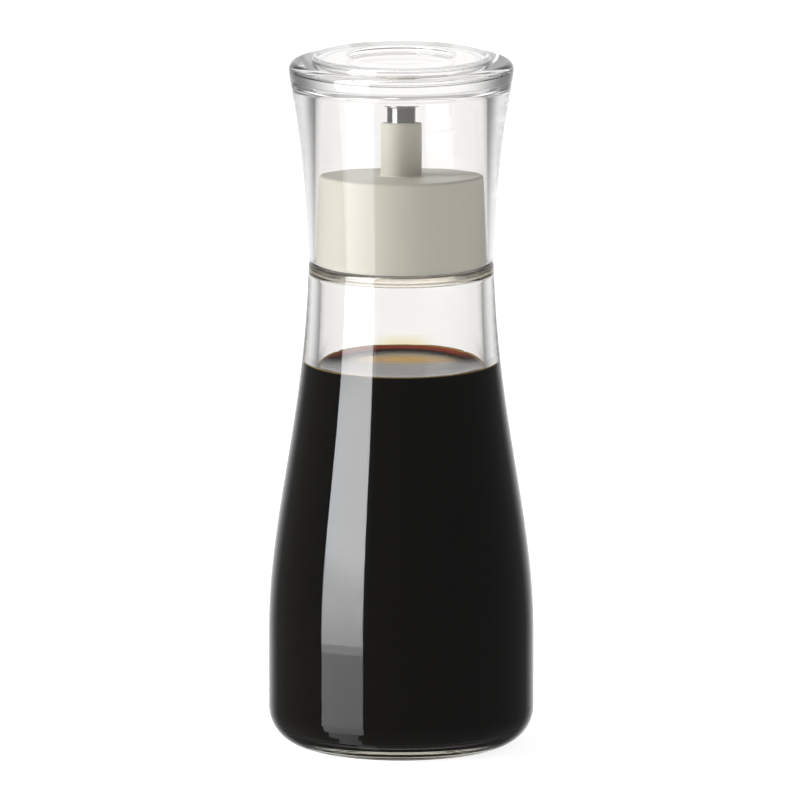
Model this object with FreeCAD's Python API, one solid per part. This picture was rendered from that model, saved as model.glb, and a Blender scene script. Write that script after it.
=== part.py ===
import FreeCAD, Part
import os

# Glass soy sauce dispenser, in millimetres. The axis of the bottle is Z, its base stands on Z = 0.
# Every piece is turned about that axis: bottle, sauce, collar, pouring tube and lid.

# Bottle, outside: a wide foot, a long flare drawn in to the shoulder, a plain neck above it.
BODY_RADIUS = 32.0
HEEL_ROUND = 9.0
BELLY_HEIGHT = 27.0         # where the upright foot starts to draw in
FLARE_FOOT_PULL = 29.2      # how long the flare keeps the direction of the foot
FLARE_SHOULDER_PULL = 38.7  # how long it keeps the direction of the shoulder zone
SHOULDER_TAPER = 0.0217     # radius lost per millimetre of height below the shoulder
SHOULDER_RADIUS = 22.3
SHOULDER_HEIGHT = 117.9
SHOULDER_ROUND = 1.0
NECK_LENGTH = 16.0
NECK_ROOT_ROUND = 0.8

# Bottle, inside.
FLOOR = 4.2
BODY_WALL = 3.6
SHOULDER_WALL = 2.9
SHOULDER_THICKNESS = 2.0
NECK_WALL = 2.4
INNER_HEEL_ROUND = 4.5
INNER_SHOULDER_ROUND = 1.8
INNER_FOOT_PULL = 19.4
INNER_SHOULDER_PULL = 49.8
INNER_SHOULDER_TAPER = 0.006
MOUTH_ROUND = 0.8

# Soy sauce: fills the bottle to this far below the shoulder.
SAUCE_DROP = 24.7

# Collar: a plastic cap pushed over the neck, with a stem that carries the pouring tube.
COLLAR_LENGTH = 22.4
COLLAR_DRAFT = 0.9          # radius lost from its foot to its top
COLLAR_WALL = 3.45          # round the neck, measured at the top
COLLAR_TOP_ROUND = 0.8
COLLAR_FOOT_ROUND = 0.3
COLLAR_NECK_CLEARANCE = 0.15
STEM_WALL = 1.45
STEM_LENGTH = 13.8
STEM_ROOT_ROUND = 0.5
STEM_TOP_ROUND = 0.45

# Pouring tube: steel, seated in the stem, with a flared lip.
TUBE_RADIUS = 3.45
TUBE_WALL = 0.7
TUBE_SEAT = 7.0
TUBE_REACH = 4.55           # what shows above the stem, lip included
LIP_FLARE = 0.75
LIP_LENGTH = 0.9
LIP_EDGE = 0.35             # upright rim of the lip

# Lid: heavy glass, turned over the collar and standing on the shoulder.
LID_SETBACK = 0.1           # of its foot from the edge of the shoulder
LID_COLLAR_CLEARANCE = 0.25
LID_FOOT_WALL = 1.45
LID_FOOT_ROUND = 1.1
LID_FOOT_TAPER = 0.038      # radius gained per millimetre of height above the foot
LID_FOOT_PULL = 32.4
LID_FLANGE_PULL = 3.3
FLANGE_FLARE = 4.85         # how far the flange stands out over the foot
FLANGE_BAND = 2.0           # height of the rounded band at the widest place
FLANGE_ROUND = 1.9
CAVITY_DRAFT = 0.35         # radius lost from the cavity's foot to its ceiling
CAVITY_ROUND = 2.6
HEADROOM = 3.75             # from the tube's lip to the lid's ceiling
LID_CEILING_THICKNESS = 4.3  # from the ceiling to the top of the flange
FLANGE_LEDGE = 5.45         # from the flange's edge to the raised disc
DISC_HEIGHT = 1.5
DISC_ROUND = 1.3
RECESS_RADIUS = 13.0        # the round recess in the middle of the disc
RECESS_DEPTH = 1.2
RECESS_EDGE_ROUND = 0.4
RECESS_CORNER_ROUND = 0.5

# Heights that follow from the sizes above.
SAUCE_LEVEL = SHOULDER_HEIGHT - SAUCE_DROP
MOUTH_HEIGHT = SHOULDER_HEIGHT + NECK_LENGTH
COLLAR_TOP = SHOULDER_HEIGHT + COLLAR_LENGTH
STEM_TOP = COLLAR_TOP + STEM_LENGTH
TUBE_TOP = STEM_TOP + TUBE_REACH
CEILING_HEIGHT = TUBE_TOP + HEADROOM
FLANGE_TOP = CEILING_HEIGHT + LID_CEILING_THICKNESS
LID_TOP = FLANGE_TOP + DISC_HEIGHT

# Radii that follow from the sizes above, from the shoulder's edge inwards.
LID_FOOT_RADIUS = SHOULDER_RADIUS - LID_SETBACK
FLANGE_RADIUS = LID_FOOT_RADIUS + FLANGE_FLARE
DISC_RADIUS = FLANGE_RADIUS - FLANGE_LEDGE
CAVITY_FOOT_RADIUS = LID_FOOT_RADIUS - LID_FOOT_WALL
CAVITY_TOP_RADIUS = CAVITY_FOOT_RADIUS - CAVITY_DRAFT
COLLAR_FOOT_RADIUS = CAVITY_FOOT_RADIUS - LID_COLLAR_CLEARANCE
COLLAR_TOP_RADIUS = COLLAR_FOOT_RADIUS - COLLAR_DRAFT
SOCKET_RADIUS = COLLAR_TOP_RADIUS - COLLAR_WALL
NECK_RADIUS = SOCKET_RADIUS - COLLAR_NECK_CLEARANCE
MOUTH_RADIUS = NECK_RADIUS - NECK_WALL
STEM_RADIUS = TUBE_RADIUS + STEM_WALL
LIP_RADIUS = TUBE_RADIUS + LIP_FLARE
BORE_RADIUS = TUBE_RADIUS - TUBE_WALL

AXIS_POINT = FreeCAD.Vector(0, 0, 0)
AXIS = FreeCAD.Vector(0, 0, 1)


def at(radius, height):
    """A point of a profile: its distance from the axis and its height."""
    return FreeCAD.Vector(radius, 0, height)


def curve(*points):
    """A Bezier curve through the first and last point, drawn towards those between."""
    bezier = Part.BezierCurve()
    bezier.setPoles([at(radius, height) for radius, height in points])
    return bezier.toShape()


def chain(*points):
    """Straight edges from point to point."""
    pairs = zip(points, points[1:])
    return [Part.LineSegment(at(*start), at(*end)).toShape() for start, end in pairs]


def turn(edges):
    """The solid that a closed profile sweeps in one turn about the axis."""
    return Part.Face(Part.Wire(edges)).revolve(AXIS_POINT, AXIS, 360)


def drum(radius, bottom, top):
    """A plain cylinder about the axis, between two heights."""
    return Part.makeCylinder(radius, top - bottom, at(0, bottom))


def ring_edges(shape, radius, height):
    """The circular edges of a shape with this radius at this height."""
    found = []
    for edge in shape.Edges:
        circle = edge.Curve
        if not isinstance(circle, Part.Circle):
            continue
        if abs(circle.Radius - radius) < 1e-5 and abs(circle.Center.z - height) < 1e-5:
            found.append(edge)
    return found


def rounded(shape, *rings):
    """The shape with rings (radius, height, rounding) rounded one after the other."""
    for radius, height, rounding in rings:
        shape = shape.makeFillet(rounding, ring_edges(shape, radius, height))
    return shape


def bottle_outside():
    """The glass as one full body: foot, flare, shoulder and neck."""
    belly = (BODY_RADIUS, BELLY_HEIGHT)
    shoulder = (SHOULDER_RADIUS, SHOULDER_HEIGHT)
    foot_pole = (BODY_RADIUS, BELLY_HEIGHT + FLARE_FOOT_PULL)
    shoulder_pole = (
        SHOULDER_RADIUS + SHOULDER_TAPER * FLARE_SHOULDER_PULL,
        SHOULDER_HEIGHT - FLARE_SHOULDER_PULL,
    )
    edges = chain((0, 0), (BODY_RADIUS, 0), belly)
    edges.append(curve(belly, foot_pole, shoulder_pole, shoulder))
    edges += chain(
        shoulder,
        (NECK_RADIUS, SHOULDER_HEIGHT),
        (NECK_RADIUS, MOUTH_HEIGHT),
        (0, MOUTH_HEIGHT),
        (0, 0),
    )
    return rounded(
        turn(edges),
        (BODY_RADIUS, 0, HEEL_ROUND),
        (SHOULDER_RADIUS, SHOULDER_HEIGHT, SHOULDER_ROUND),
        (NECK_RADIUS, SHOULDER_HEIGHT, NECK_ROOT_ROUND),
        (NECK_RADIUS, MOUTH_HEIGHT, MOUTH_ROUND),
    )


def bottle_inside():
    """The space inside the glass, up through the mouth."""
    body = BODY_RADIUS - BODY_WALL
    shoulder = SHOULDER_RADIUS - SHOULDER_WALL
    roof = SHOULDER_HEIGHT - SHOULDER_THICKNESS
    foot_pole = (body, BELLY_HEIGHT + INNER_FOOT_PULL)
    shoulder_pole = (
        shoulder + INNER_SHOULDER_TAPER * INNER_SHOULDER_PULL,
        roof - INNER_SHOULDER_PULL,
    )
    edges = chain((0, FLOOR), (body, FLOOR), (body, BELLY_HEIGHT))
    edges.append(curve((body, BELLY_HEIGHT), foot_pole, shoulder_pole, (shoulder, roof)))
    edges += chain(
        (shoulder, roof),
        (MOUTH_RADIUS, roof),
        (MOUTH_RADIUS, MOUTH_HEIGHT),
        (0, MOUTH_HEIGHT),
        (0, FLOOR),
    )
    return rounded(
        turn(edges),
        (body, FLOOR, INNER_HEEL_ROUND),
        (shoulder, roof, INNER_SHOULDER_ROUND),
        (MOUTH_RADIUS, roof, NECK_ROOT_ROUND),
    )


def make_bottle(inside):
    """Clear glass bottle with a thick foot."""
    glass = bottle_outside().cut(inside)
    return rounded(glass, (MOUTH_RADIUS, MOUTH_HEIGHT, MOUTH_ROUND))


def make_sauce(inside):
    """The sauce, wall to wall, from the glass floor to its level."""
    return inside.common(drum(BODY_RADIUS, 0, SAUCE_LEVEL))


def make_collar():
    """Plastic collar: a drafted cap on the shoulder, with the stem and the pouring channel."""
    cap = turn(chain(
        (0, SHOULDER_HEIGHT),
        (COLLAR_FOOT_RADIUS, SHOULDER_HEIGHT),
        (COLLAR_TOP_RADIUS, COLLAR_TOP),
        (STEM_RADIUS, COLLAR_TOP),
        (STEM_RADIUS, STEM_TOP),
        (0, STEM_TOP),
        (0, SHOULDER_HEIGHT),
    ))
    cap = rounded(
        cap,
        (COLLAR_FOOT_RADIUS, SHOULDER_HEIGHT, COLLAR_FOOT_ROUND),
        (COLLAR_TOP_RADIUS, COLLAR_TOP, COLLAR_TOP_ROUND),
        (STEM_RADIUS, COLLAR_TOP, STEM_ROOT_ROUND),
        (STEM_RADIUS, STEM_TOP, STEM_TOP_ROUND),
    )
    socket_roof = MOUTH_HEIGHT + COLLAR_NECK_CLEARANCE
    cap = cap.cut(drum(SOCKET_RADIUS, SHOULDER_HEIGHT, socket_roof))
    relief = ring_edges(cap, SOCKET_RADIUS, SHOULDER_HEIGHT)
    cap = cap.makeChamfer(NECK_ROOT_ROUND, relief)
    cap = cap.cut(drum(BORE_RADIUS, socket_roof, STEM_TOP))
    return cap.cut(drum(TUBE_RADIUS, STEM_TOP - TUBE_SEAT, STEM_TOP))


def make_tube():
    """Steel pouring tube, its lip flared outwards."""
    bottom = STEM_TOP - TUBE_SEAT
    lip_start = TUBE_TOP - LIP_LENGTH
    lip_edge = TUBE_TOP - LIP_EDGE
    lip_bore = LIP_RADIUS - TUBE_WALL
    edges = chain((BORE_RADIUS, bottom), (TUBE_RADIUS, bottom), (TUBE_RADIUS, lip_start))
    edges.append(curve((TUBE_RADIUS, lip_start), (TUBE_RADIUS, lip_edge), (LIP_RADIUS, lip_edge)))
    edges += chain((LIP_RADIUS, lip_edge), (LIP_RADIUS, TUBE_TOP), (lip_bore, TUBE_TOP))
    edges.append(curve((lip_bore, TUBE_TOP), (BORE_RADIUS, TUBE_TOP), (BORE_RADIUS, lip_start)))
    edges += chain((BORE_RADIUS, lip_start), (BORE_RADIUS, bottom))
    return turn(edges)


def lid_outside():
    """The lid as one full body: trumpet wall, flange and raised disc."""
    foot = (LID_FOOT_RADIUS, SHOULDER_HEIGHT)
    flange = (FLANGE_RADIUS, FLANGE_TOP - FLANGE_BAND)
    foot_pole = (
        LID_FOOT_RADIUS + LID_FOOT_TAPER * LID_FOOT_PULL,
        SHOULDER_HEIGHT + LID_FOOT_PULL,
    )
    flange_pole = (FLANGE_RADIUS, FLANGE_TOP - FLANGE_BAND - LID_FLANGE_PULL)
    edges = chain((0, SHOULDER_HEIGHT), foot)
    edges.append(curve(foot, foot_pole, flange_pole, flange))
    edges += chain(
        flange,
        (FLANGE_RADIUS, FLANGE_TOP),
        (DISC_RADIUS, FLANGE_TOP),
        (DISC_RADIUS, LID_TOP),
        (0, LID_TOP),
        (0, SHOULDER_HEIGHT),
    )
    return rounded(
        turn(edges),
        (LID_FOOT_RADIUS, SHOULDER_HEIGHT, LID_FOOT_ROUND),
        (FLANGE_RADIUS, FLANGE_TOP, FLANGE_ROUND),
        (DISC_RADIUS, LID_TOP, DISC_ROUND),
    )


def lid_cavity():
    """The space inside the lid, a little narrower at its ceiling."""
    space = turn(chain(
        (0, SHOULDER_HEIGHT),
        (CAVITY_FOOT_RADIUS, SHOULDER_HEIGHT),
        (CAVITY_TOP_RADIUS, CEILING_HEIGHT),
        (0, CEILING_HEIGHT),
        (0, SHOULDER_HEIGHT),
    ))
    return rounded(space, (CAVITY_TOP_RADIUS, CEILING_HEIGHT, CAVITY_ROUND))


def make_lid():
    """Heavy glass lid, open below, with a shallow round recess in the middle of the disc."""
    recess_floor = LID_TOP - RECESS_DEPTH
    lid = lid_outside().cut(lid_cavity()).cut(drum(RECESS_RADIUS, recess_floor, LID_TOP))
    return rounded(
        lid,
        (RECESS_RADIUS, LID_TOP, RECESS_EDGE_ROUND),
        (RECESS_RADIUS, recess_floor, RECESS_CORNER_ROUND),
    )


def main():
    inside = bottle_inside()
    parts = {
        "bottle": make_bottle(inside),
        "soy_sauce": make_sauce(inside),
        "collar": make_collar(),
        "pouring_tube": make_tube(),
        "lid": make_lid(),
    }
    os.makedirs("parts", exist_ok=True)
    for node, shape in parts.items():
        shape.exportStep(os.path.join("parts", node + ".step"))


main()
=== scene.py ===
import math

import bmesh
import bpy
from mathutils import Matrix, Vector


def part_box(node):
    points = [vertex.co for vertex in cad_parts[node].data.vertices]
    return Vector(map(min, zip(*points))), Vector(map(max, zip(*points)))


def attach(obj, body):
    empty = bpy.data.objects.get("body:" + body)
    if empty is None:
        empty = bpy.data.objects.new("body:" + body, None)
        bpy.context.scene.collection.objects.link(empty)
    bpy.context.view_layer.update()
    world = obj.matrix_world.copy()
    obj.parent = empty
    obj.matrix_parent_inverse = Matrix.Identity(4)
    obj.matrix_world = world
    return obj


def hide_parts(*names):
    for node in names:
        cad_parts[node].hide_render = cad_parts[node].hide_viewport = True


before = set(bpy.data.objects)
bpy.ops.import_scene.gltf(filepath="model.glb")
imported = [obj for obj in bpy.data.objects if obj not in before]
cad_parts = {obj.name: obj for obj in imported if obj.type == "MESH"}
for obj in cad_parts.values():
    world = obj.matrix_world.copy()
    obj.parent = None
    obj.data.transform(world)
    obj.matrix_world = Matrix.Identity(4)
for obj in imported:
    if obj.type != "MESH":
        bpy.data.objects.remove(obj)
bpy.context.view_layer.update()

scene = bpy.context.scene
scene.view_settings.view_transform = "Standard"


# The table: a plain pale surface that the bottle stands on, loose. It reads as white, and keeps a soft
# shadow under the glass foot.

class Wire:
    """A value in a node tree. Arithmetic on it adds Math nodes."""

    def __init__(self, nodes, socket):
        self.nodes = nodes
        self.socket = socket

    def __add__(self, other):
        return self.nodes.math("ADD", self, other)

    __radd__ = __add__

    def __sub__(self, other):
        return self.nodes.math("SUBTRACT", self, other)

    def __rsub__(self, other):
        return self.nodes.math("SUBTRACT", other, self)

    def __mul__(self, other):
        return self.nodes.math("MULTIPLY", self, other)

    __rmul__ = __mul__

    def step(self, low, high):
        """0 below low, 1 above high, smooth between them."""
        return self.nodes.add(
            "ShaderNodeMapRange", {"interpolation_type": "SMOOTHSTEP"},
            {"Value": self, "From Min": low, "From Max": high},
        )


class Nodes:
    """Adds nodes to one tree."""

    def __init__(self, tree):
        tree.nodes.clear()
        self.tree = tree

    def make(self, kind, settings=None, sockets=None):
        """A node of this type, with its settings and then the values or links of its sockets."""
        node = self.tree.nodes.new(kind)
        for name, value in (settings or {}).items():
            setattr(node, name, value)
        for key, value in (sockets or {}).items():
            if isinstance(value, Wire):
                self.tree.links.new(value.socket, node.inputs[key])
            else:
                node.inputs[key].default_value = value
        return node

    def add(self, kind, settings=None, sockets=None, output=0):
        """The chosen output of a new node."""
        return Wire(self, self.make(kind, settings, sockets).outputs[output])

    def math(self, operation, *operands):
        return self.add("ShaderNodeMath", {"operation": operation}, dict(enumerate(operands)))


def material(name):
    """A new node material and the maker of its nodes."""
    made = bpy.data.materials.new(name)
    made.use_nodes = True
    return made, Nodes(made.node_tree)


table_radius = 6.0
table_edge = bmesh.new()
bmesh.ops.create_circle(table_edge, cap_ends=True, segments=96, radius=table_radius)
table_mesh = bpy.data.meshes.new("table")
table_edge.to_mesh(table_mesh)
table_edge.free()
table = bpy.data.objects.new("table", table_mesh)
scene.collection.objects.link(table)
table.visible_glossy = False
table.visible_transmission = False


def mix_colour(nodes, factor, first, second):
    """The first colour where the factor is 0, the second where it is 1."""
    return nodes.add(
        "ShaderNodeMix", {"data_type": "RGBA"}, {"Factor": factor, 6: first, 7: second}, output=2)


def object_place(nodes):
    """Where a point lies on its piece, in metres."""
    return nodes.add("ShaderNodeTexCoord", output="Object")


def noise(nodes, place, scale, detail):
    """Soft clouds between 0 and 1."""
    return nodes.add("ShaderNodeTexNoise", sockets={"Vector": place, "Scale": scale, "Detail": detail})


def finish_with(nodes, surface):
    """Ends a material with this shader."""
    nodes.make("ShaderNodeOutputMaterial", sockets={"Surface": surface})


table_white, nodes = material("table_white")
cloud = noise(nodes, object_place(nodes), 9.0, 2.0)
shade = mix_colour(nodes, cloud, (0.59, 0.59, 0.59, 1.0), (0.61, 0.61, 0.61, 1.0))
diffuse = nodes.add("ShaderNodeBsdfDiffuse", sockets={"Color": shade})
glow = nodes.add("ShaderNodeEmission", sockets={"Color": (1, 1, 1, 1), "Strength": 0.8})
both = nodes.add("ShaderNodeAddShader", sockets={0: diffuse, 1: glow})
finish_with(nodes, both)
table_mesh.materials.append(table_white)


# The studio: a white backdrop behind, dim walls elsewhere and a soft key light from the left. Reflections
# also show a tall softbox on the left, brighter towards its top. Through glass, the walls look lighter.

def light_path(nodes, output):
    """What the ray has done so far."""
    return nodes.add("ShaderNodeLightPath", output=output)


def split(nodes, vector):
    """The three parts of a vector."""
    return [nodes.add("ShaderNodeSeparateXYZ", sockets={"Vector": vector}, output=axis) for axis in "XYZ"]


def vector_math(nodes, operation, *operands, output="Vector"):
    """A Vector Math node."""
    return nodes.add(
        "ShaderNodeVectorMath", {"operation": operation}, dict(enumerate(operands)), output=output)


def mix_number(nodes, factor, first, second):
    """The first number where the factor is 0, the second where it is 1."""
    return nodes.add("ShaderNodeMix", {"data_type": "FLOAT"}, {"Factor": factor, 2: first, 3: second})


world = bpy.data.worlds.new("studio")
scene.world = world
world.use_nodes = True
nodes = Nodes(world.node_tree)
direction = nodes.add("ShaderNodeTexCoord", output="Generated")
east, north, up = split(nodes, direction)

# Angles in degrees: from the middle of the backdrop, from the front round to the left, above the horizon.
off_backdrop = nodes.math("ARCCOSINE", north) * math.degrees(1.0)
turned = nodes.math("ARCTAN2", 0.0 - east, 0.0 - north) * math.degrees(1.0)
raised = nodes.math("ARCSINE", up) * math.degrees(1.0)

# The softbox: its two upright edges, how soft they are, and how far the right one moves in at its foot.
softbox_right = 33.0
softbox_left = 73.0
softbox_blur = 1.2
foot_drift = 14.0
drifted = turned - foot_drift * (1.0 - raised.step(-48.0, -22.0))
softbox = drifted.step(softbox_right, softbox_right + softbox_blur)
softbox = softbox * (1.0 - turned.step(softbox_left, softbox_left + softbox_blur))
level = 0.4 + 0.5 * raised.step(-70.0, -45.0) + 1.1 * raised.step(-40.0, -15.0)
level = level + 4.6 * raised.step(-12.2, -8.8)
level = level + 2.0 * raised.step(-9.0, -2.0) + 2.7 * raised.step(-1.5, 3.0)
softbox = softbox * level

# The room as reflections show it, and as it shows through the glass.
mirrored = 1.0 - 0.88 * off_backdrop.step(12.0, 46.0)
through = 1.05 - 0.80 * off_backdrop.step(20.0, 55.0)
through = through + 0.3 * up.step(0.3, 0.9) + 0.5 * (1.0 - up.step(-0.60, -0.30)) + 0.2 * softbox
inside_glass = light_path(nodes, "Transmission Depth").step(0.4, 0.6)
room = mix_number(nodes, inside_glass, mirrored + softbox, through)

# The key light falls on what isn't glossy.
key_turn = math.radians(82.0)
key_height = math.radians(20.0)
key = (
    -math.sin(key_turn) * math.cos(key_height),
    -math.cos(key_turn) * math.cos(key_height),
    math.sin(key_height))
facing_key = vector_math(nodes, "DOT_PRODUCT", direction, key, output="Value")
soft_light = 0.355 + 10.2 * facing_key.step(0.90, 1.0) + 0.5 * (1.0 - off_backdrop.step(30.0, 60.0))

strength = mix_number(nodes, light_path(nodes, "Is Glossy Ray"), soft_light, room)
strength = mix_number(nodes, light_path(nodes, "Is Camera Ray"), strength, 1.0)
tone = mix_colour(nodes, facing_key.step(0.85, 0.95), (1.0, 1.0, 1.0, 1.0), (0.95, 0.98, 1.0, 1.0))
sky = nodes.add("ShaderNodeBackground", sockets={"Color": tone, "Strength": strength})
nodes.make("ShaderNodeOutputWorld", sockets={"Surface": sky})


# Glass bottle: one thick-walled piece of clear glass, with a heavy foot and a plain neck under the
# collar. It stands on the table by its own weight.

def bezier(start, pull_start, pull_end, end, steps):
    """Points of a curve from start to end, without the last one."""
    points = []
    for i in range(steps):
        t = i / steps
        weights = ((1 - t) ** 3, 3 * t * (1 - t) ** 2, 3 * t * t * (1 - t), t ** 3)
        poles = (start, pull_start, pull_end, end)
        points.append(tuple(sum(w * pole[k] for w, pole in zip(weights, poles)) for k in (0, 1)))
    return points


def round_off(outline, steps=10):
    """An outline of (radius, height, rounding) with its corners turned into arcs."""
    done = []
    for i, point in enumerate(outline):
        here = Vector(point[:2])
        rounding = point[2] if len(point) > 2 else 0.0
        if not rounding:
            done.append(here)
            continue
        before = (Vector(outline[i - 1][:2]) - here).normalized()
        after = (Vector(outline[(i + 1) % len(outline)][:2]) - here).normalized()
        half = before.angle(after) / 2
        centre = here + (before + after).normalized() * (rounding / math.sin(half))
        reach = rounding / math.tan(half)
        first = here + before * reach - centre
        last = here + after * reach - centre
        sweep = first.angle_signed(last)
        for k in range(steps + 1):
            angle = sweep * k / steps
            turned = Vector((
                first.x * math.cos(angle) + first.y * math.sin(angle),
                first.y * math.cos(angle) - first.x * math.sin(angle)))
            done.append(centre + turned)
    return done


def steady(outline, closed, near=0.00012):
    """The outline with a point close to each end of a long run, so that it shades as straight."""
    done = []
    for i, point in enumerate(outline):
        done.append(point)
        if i + 1 == len(outline) and not closed:
            break
        run = outline[(i + 1) % len(outline)] - point
        if run.length > 8 * near:
            done.append(point + run.normalized() * near)
            done.append(point + run - run.normalized() * near)
    return done


def lathe(name, outline, closed, steps=192):
    """A turned piece from its outline of radii and heights."""
    shape = bmesh.new()
    outline = steady(outline, closed)
    points = [shape.verts.new((p.x, 0.0, p.y)) for p in outline]
    pairs = list(zip(points, points[1:] + points[:1] if closed else points[1:]))
    edges = [shape.edges.new(pair) for pair in pairs]
    bmesh.ops.spin(
        shape, geom=points + edges, cent=(0, 0, 0), axis=(0, 0, 1),
        angle=math.tau, steps=steps, use_merge=True)
    bmesh.ops.remove_doubles(shape, verts=shape.verts, dist=1e-7)
    bmesh.ops.recalc_face_normals(shape, faces=shape.faces)
    for face in shape.faces:
        face.smooth = True
    mesh = bpy.data.meshes.new(name)
    shape.to_mesh(mesh)
    shape.free()
    mesh.set_sharp_from_angle(angle=math.radians(35.0))
    piece = bpy.data.objects.new(name, mesh)
    scene.collection.objects.link(piece)
    return piece


def radius_at(curve, height):
    """The radius of a rising or falling curve at this height."""
    for (r0, z0), (r1, z1) in zip(curve, curve[1:]):
        if z0 <= height < z1:
            return r0 + (r1 - r0) * (height - z0) / (z1 - z0)


mm = 0.001
shoulder_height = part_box("lid")[0].z
body_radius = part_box("bottle")[1].x
mouth_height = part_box("bottle")[1].z
belly_height = 27.0 * mm
shoulder_radius = 22.3 * mm
neck_radius = 16.0 * mm
floor_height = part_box("soy_sauce")[0].z
sauce_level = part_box("soy_sauce")[1].z
inner_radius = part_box("soy_sauce")[1].x
inner_shoulder_radius = 19.4 * mm
inner_roof = shoulder_height - 2.0 * mm
mouth_radius = 13.6 * mm
heel_round = 9.0 * mm
inner_heel_round = 4.5 * mm
centre_ring = 12.0 * mm
glass_ior = 1.5

outer_flare = bezier(
    (body_radius, belly_height),
    (body_radius, belly_height + 29.2 * mm),
    (shoulder_radius + 0.0217 * 38.7 * mm, shoulder_height - 38.7 * mm),
    (shoulder_radius, shoulder_height), 40)
inner_flare = bezier(
    (inner_radius, belly_height),
    (inner_radius, belly_height + 19.4 * mm),
    (inner_shoulder_radius + 0.006 * 49.8 * mm, inner_roof - 49.8 * mm),
    (inner_shoulder_radius, inner_roof), 32)

bottle = lathe("bottle", round_off(
    [(0.0, 0.0), (centre_ring, 0.0), (body_radius, 0.0, heel_round)]
    + outer_flare
    + [(shoulder_radius, shoulder_height, 1.0 * mm),
       (neck_radius, shoulder_height, 0.8 * mm),
       (neck_radius, mouth_height, 0.8 * mm),
       (mouth_radius, mouth_height, 0.8 * mm),
       (mouth_radius, inner_roof, 0.8 * mm),
       (inner_shoulder_radius, inner_roof, 1.8 * mm)]
    + inner_flare[:0:-1]
    + [(inner_radius, belly_height), (inner_radius, floor_height, inner_heel_round),
       (centre_ring, floor_height), (0.0, floor_height)]
), closed=False)
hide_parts("bottle")
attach(bottle, "root")


def from_axis(nodes, place):
    """How far a point lies from the bottle's axis."""
    flat = vector_math(nodes, "MULTIPLY", place, (1.0, 1.0, 0.0))
    return vector_math(nodes, "LENGTH", flat, output="Value")


def stained_and_shaded(nodes, place, colour):
    """The glass colour with the sauce that clings to it: a trace on the back wall over the level. Round
    the shoulder's edge it has painted shade: a dark line for the shadow in the seam over a pale grey
    band."""
    x, y, z = split(nodes, place)
    trace = (1.0 - z.step(sauce_level, sauce_level + 2.8 * mm)) * y.step(0.0, 10 * mm)
    trace = trace * (1.0 - nodes.math("ABSOLUTE", x - 0.5 * mm).step(3 * mm, 10 * mm))
    colour = mix_colour(nodes, trace, colour, (0.93, 0.86, 0.62, 1.0))
    # Painted shade round the shoulder's edge: a pale grey band and, over it, a dark line for the shadow
    # in the seam.
    edge = from_axis(nodes, place).step(shoulder_radius - 1.6 * mm, shoulder_radius - 1.2 * mm)
    painted_band = z.step(shoulder_height - 1.6 * mm, shoulder_height - 0.8 * mm) * edge
    colour = mix_colour(nodes, painted_band, colour, (0.54, 0.53, 0.52, 1.0))
    painted_seam_shade = z.step(shoulder_height - 0.75 * mm, shoulder_height - 0.45 * mm) * edge
    return mix_colour(nodes, painted_seam_shade, colour, (0.06, 0.052, 0.044, 1.0))


def mix_shader(nodes, factor, first, second):
    """The first shader where the factor is 0, the second where it is 1."""
    return nodes.add("ShaderNodeMixShader", sockets={0: factor, 1: first, 2: second})


def clear_glass(name, tint, filled=False):
    """Clear glass. Diffuse and shadow rays go straight through it."""
    made, nodes = material(name)
    place = object_place(nodes)
    colour = mix_colour(nodes, noise(nodes, place, 60.0, 1.0), (*tint, 1.0), (0.995, 0.990, 0.985, 1.0))
    # Filled glass also carries the painted shade round the shoulder.
    if filled:
        colour = stained_and_shaded(nodes, place, colour)
    glass = nodes.add("ShaderNodeBsdfPrincipled", sockets={
        "Base Color": colour, "Roughness": 0.0, "IOR": glass_ior, "Transmission Weight": 1.0})
    through = nodes.add("ShaderNodeBsdfTransparent", sockets={"Color": (0.97, 0.965, 0.955, 1.0)})
    surface = mix_shader(nodes, light_path(nodes, "Is Diffuse Ray"), glass, through)
    surface = mix_shader(nodes, light_path(nodes, "Is Shadow Ray"), surface, through)
    finish_with(nodes, surface)
    return made


bottle.data.materials.append(clear_glass("bottle_glass", (0.995, 0.982, 0.968), filled=True))


# Soy sauce: dark brown, nearly black in depth, amber where it is thin. It lies in the bottle, wets the
# glass and climbs it a little.

wet = 0.06 * mm
climb = 1.2 * mm
climb_reach = 2.3 * mm
climb_width = 9.0 * mm
climb_steps = 16
flat_level = sauce_level - climb
rim_radius = radius_at(inner_flare, sauce_level)
meniscus = []
for k in range(climb_steps + 1):
    away = climb_width * (k / climb_steps) ** 1.6
    meniscus.append((rim_radius - away, flat_level + climb * math.exp(-away / climb_reach)))
sauce = lathe("soy_sauce", round_off(
    [(0.0, floor_height - wet), (centre_ring, floor_height - wet),
     (inner_radius + wet, floor_height - wet, inner_heel_round),
     (inner_radius + wet, belly_height)]
    + [(r + wet, z) for r, z in inner_flare[1:] if z < sauce_level - 0.3 * mm]
    + [(rim_radius + wet, sauce_level)] + meniscus + [(0.0, flat_level)]
), closed=False)
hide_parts("soy_sauce")
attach(sauce, "root")

dark = (0.004, 0.0035, 0.003, 1.0)
liquid_ior = 1.36

# Seen through the wall: dark, with a thin amber rim, and a mirror at a grazing look.
made, nodes = material("sauce_in_glass")
z = split(nodes, object_place(nodes))[2]
thin = z.step(sauce_level - 0.4 * mm, sauce_level - 0.05 * mm)
colour = mix_colour(nodes, thin, dark, (0.22, 0.15, 0.06, 1.0))
liquid = nodes.add("ShaderNodeBsdfDiffuse", sockets={"Color": colour})
mirror = nodes.add("ShaderNodeBsdfGlossy", sockets={"Color": (0.97, 0.97, 0.96, 1.0), "Roughness": 0.0})
grazing = nodes.add("ShaderNodeFresnel", sockets={"IOR": liquid_ior / glass_ior})
finish_with(nodes, mix_shader(nodes, grazing, liquid, mirror))
sauce.data.materials.append(made)
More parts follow.
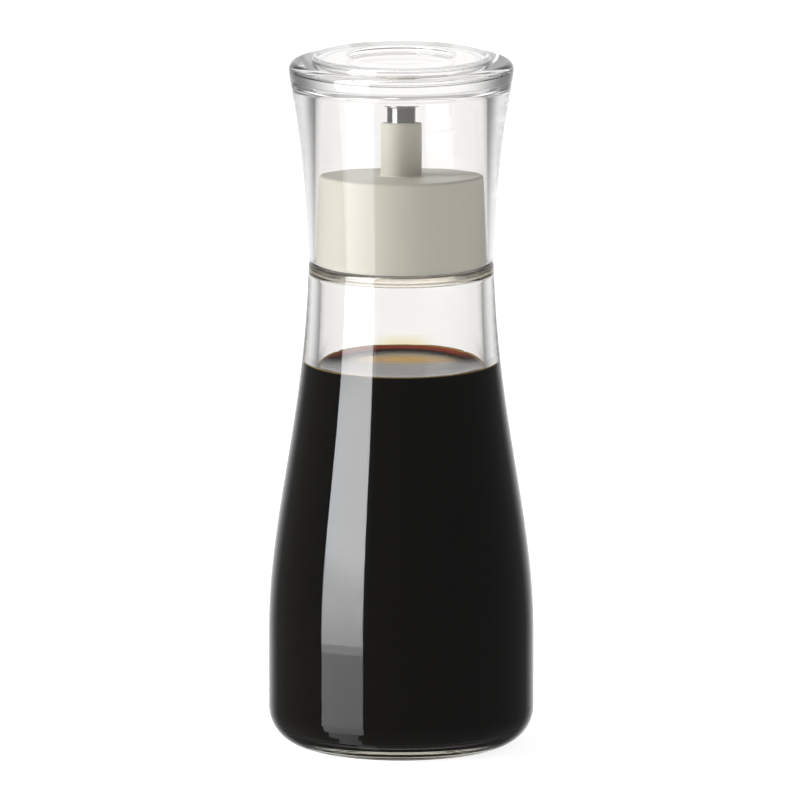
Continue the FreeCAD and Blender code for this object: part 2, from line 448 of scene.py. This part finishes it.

# Seen from above, painted light and shade: red back rim, amber pool behind the middle, no gloss on the
# back.
made, nodes = material("sauce_surface")
place = object_place(nodes)
y, z = split(nodes, place)[1:]
# Painted backlight: red where the rim climbs the back wall, as if lit through from behind.
behind = y.step(0.15 * rim_radius, 0.7 * rim_radius)
painted_backlight_red = z.step(flat_level + 0.25 * mm, flat_level + 0.65 * mm) * behind
colour = mix_colour(nodes, painted_backlight_red, dark, (0.22, 0.045, 0.025, 1.0))
thin = z.step(sauce_level - 0.35 * mm, sauce_level - 0.05 * mm)
colour = mix_colour(nodes, thin, colour, (0.72, 0.45, 0.16, 1.0))
solid = 1.0 - 0.7 * thin
liquid = nodes.add("ShaderNodeBsdfPrincipled", sockets={
    "Base Color": colour, "Alpha": solid, "Roughness": 0.0, "IOR": liquid_ior})
# Painted shade: a copy of the liquid without gloss, for the shaded back.
shaded = nodes.add("ShaderNodeBsdfPrincipled", sockets={
    "Base Color": colour, "Alpha": solid, "Roughness": 0.0, "IOR": liquid_ior, "Specular IOR Level": 0.0})
amber = nodes.add("ShaderNodeBsdfPrincipled", sockets={
    "Base Color": (0.42, 0.225, 0.002, 1.0), "Roughness": 0.0, "IOR": liquid_ior,
    "Specular IOR Level": 0.05})
# Painted light: an amber pool behind the middle of the surface, as if light fell into the sauce there.
aside = vector_math(nodes, "SUBTRACT", place, (1.5 * mm, 7.0 * mm, 0.0))
aside = vector_math(nodes, "MULTIPLY", aside, (1.0, 2.4, 0.0))
aside = vector_math(nodes, "LENGTH", aside, output="Value")
painted_light_pool = 1.0 - aside.step(2.0 * mm, 20.0 * mm)
# Where the painted shade lies: the back of the surface, towards its rim.
shade = from_axis(nodes, place).step(rim_radius - 8.0 * mm, rim_radius - 2.5 * mm)
shade = shade * y.step(-0.1 * rim_radius, 0.4 * rim_radius)
surface = mix_shader(nodes, painted_light_pool, liquid, amber)
finish_with(nodes, mix_shader(nodes, 0.95 * shade, surface, shaded))
sauce.data.materials.append(made)

for face in sauce.data.polygons:
    if face.normal.z > 0.5:
        face.material_index = 1


# Collar: cap of moulded satin plastic, pushed over the neck down to the shoulder, with the stem that
# carries the pouring tube.

collar_foot_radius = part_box("collar")[1].x
stem_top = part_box("collar")[1].z
collar_top = shoulder_height + 22.4 * mm
stem_radius = 4.9 * mm
tube_radius = 3.45 * mm
bore_radius = 2.75 * mm
seat_foot = stem_top - 7.0 * mm
socket_radius = neck_radius + 0.15 * mm
socket_roof = mouth_height + 0.15 * mm
relief = 0.8 * mm
collar = lathe("collar", round_off([
    (collar_foot_radius, shoulder_height, 0.3 * mm),
    (collar_foot_radius - 0.9 * mm, collar_top, 0.8 * mm),
    (stem_radius, collar_top, 0.5 * mm),
    (stem_radius, stem_top, 0.45 * mm),
    (tube_radius, stem_top),
    (tube_radius, seat_foot),
    (bore_radius, seat_foot),
    (bore_radius, socket_roof),
    (socket_radius, socket_roof),
    (socket_radius, shoulder_height + relief),
    (socket_radius + relief, shoulder_height),
]), closed=True)
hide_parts("collar")
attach(collar, "root")


def moulded(name, glow):
    """Satin plastic with a fine grain. The glow is painted light, for the light that comes through its
    wall.
    """
    made, nodes = material(name)
    place = object_place(nodes)
    cloud = noise(nodes, place, 140.0, 3.0)
    grain = noise(nodes, place, 5200.0, 2.0)
    relief_of_grain = nodes.add("ShaderNodeBump", sockets={
        "Height": grain, "Strength": 0.08, "Distance": 0.02 * mm})
    plastic = nodes.add("ShaderNodeBsdfPrincipled", sockets={
        "Base Color": mix_colour(nodes, cloud, (0.585, 0.562, 0.492, 1.0), (0.615, 0.588, 0.512, 1.0)),
        "Roughness": 0.40 + 0.10 * grain, "Normal": relief_of_grain,
        "Emission Color": (*glow, 1.0), "Emission Strength": 1.0})
    finish_with(nodes, plastic)
    return made


collar.data.materials.append(moulded("collar_plastic", (0.0, 0.0, 0.0)))
# Painted light: the collar's inside, round the neck, glows as if lit through its wall.
collar.data.materials.append(moulded("collar_inside", (0.60, 0.585, 0.555)))
for face in collar.data.polygons:
    inward = math.hypot(face.center.x, face.center.y) < neck_radius + 0.5 * mm
    if inward and face.center.z < mouth_height + 0.2 * mm:
        face.material_index = 1


# Pouring tube: polished steel with faint rings, its lip flared outwards. It is pressed into the collar's
# stem.

tube_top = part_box("pouring_tube")[1].z
tube_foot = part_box("pouring_tube")[0].z
lip_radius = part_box("pouring_tube")[1].x
lip_start = tube_top - 0.9 * mm
lip_edge = tube_top - 0.35 * mm
lip_bore = lip_radius - 0.7 * mm
outer_lip = bezier(
    (tube_radius, lip_start),
    (tube_radius, lip_edge),
    (tube_radius, lip_edge),
    (lip_radius, lip_edge), 8)
inner_lip = bezier(
    (lip_bore, tube_top),
    (bore_radius, tube_top),
    (bore_radius, tube_top),
    (bore_radius, lip_start), 8)
tube = lathe("pouring_tube", round_off(
    [(bore_radius, tube_foot), (tube_radius, tube_foot)]
    + outer_lip
    + [(lip_radius, lip_edge), (lip_radius, tube_top)]
    + inner_lip
    + [(bore_radius, lip_start)]
), closed=True, steps=96)
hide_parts("pouring_tube")
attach(tube, "root")

made, nodes = material("tube_steel")
rings = vector_math(nodes, "MULTIPLY", object_place(nodes), (60.0, 60.0, 9000.0))
rings = noise(nodes, rings, 1.0, 2.0)
steel = nodes.add("ShaderNodeBsdfPrincipled", sockets={
    "Base Color": mix_colour(nodes, rings, (0.52, 0.51, 0.50, 1.0), (0.66, 0.65, 0.64, 1.0)),
    "Roughness": 0.05 + 0.09 * rings, "Metallic": 1.0})
finish_with(nodes, steel)
tube.data.materials.append(made)


# Lid: heavy pressed glass with a raised disc and a round recess on top. It goes over the collar and
# stands loose on the shoulder.

lid_foot_radius = shoulder_radius - 0.1 * mm
flange_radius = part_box("lid")[1].x
lid_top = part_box("lid")[1].z
flange_top = lid_top - 1.5 * mm
ceiling = flange_top - 4.3 * mm
disc_radius = flange_radius - 5.45 * mm
cavity_foot_radius = lid_foot_radius - 1.45 * mm
cavity_top_radius = cavity_foot_radius - 0.35 * mm
recess_radius = 13.0 * mm
recess_floor = lid_top - 1.2 * mm
lid_flare = bezier(
    (lid_foot_radius, shoulder_height),
    (lid_foot_radius + 0.038 * 32.4 * mm, shoulder_height + 32.4 * mm),
    (flange_radius, flange_top - 5.3 * mm),
    (flange_radius, flange_top - 2.0 * mm), 32)
lid_flare[0] = (*lid_flare[0], 1.1 * mm)
lid = lathe("lid", round_off(
    [(0.0, ceiling), (centre_ring, ceiling),
     (cavity_top_radius, ceiling, 2.6 * mm),
     (cavity_foot_radius, shoulder_height)]
    + lid_flare
    + [(flange_radius, flange_top, 1.9 * mm),
       (disc_radius, flange_top),
       (disc_radius, lid_top, 1.3 * mm),
       (recess_radius, lid_top, 0.4 * mm),
       (recess_radius, recess_floor, 0.5 * mm),
       (0.5 * recess_radius, recess_floor),
       (0.0, recess_floor)]
), closed=False)
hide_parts("lid")
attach(lid, "root")
lid.data.materials.append(clear_glass("lid_glass", (0.995, 0.980, 0.972)))


# Camera: a long lens that looks down on the bottle a little.

camera_distance = 4.5
camera_height = math.radians(10.5)
aim = Vector((-0.0003, 0.0, 0.08385))
frame_width = 0.1928
camera_data = bpy.data.cameras.new("camera")
camera_data.sensor_width = 36.0
camera_data.lens = 36.0 * camera_distance / frame_width
camera = bpy.data.objects.new("camera", camera_data)
away = Vector((0.0, -math.cos(camera_height), math.sin(camera_height)))
camera.location = aim + away * camera_distance
camera.rotation_euler = (math.pi / 2 - camera_height, 0.0, 0.0)
scene.collection.objects.link(camera)
scene.camera = camera

scene.cycles.max_bounces = 24
scene.cycles.transmission_bounces = 20
scene.cycles.glossy_bounces = 12
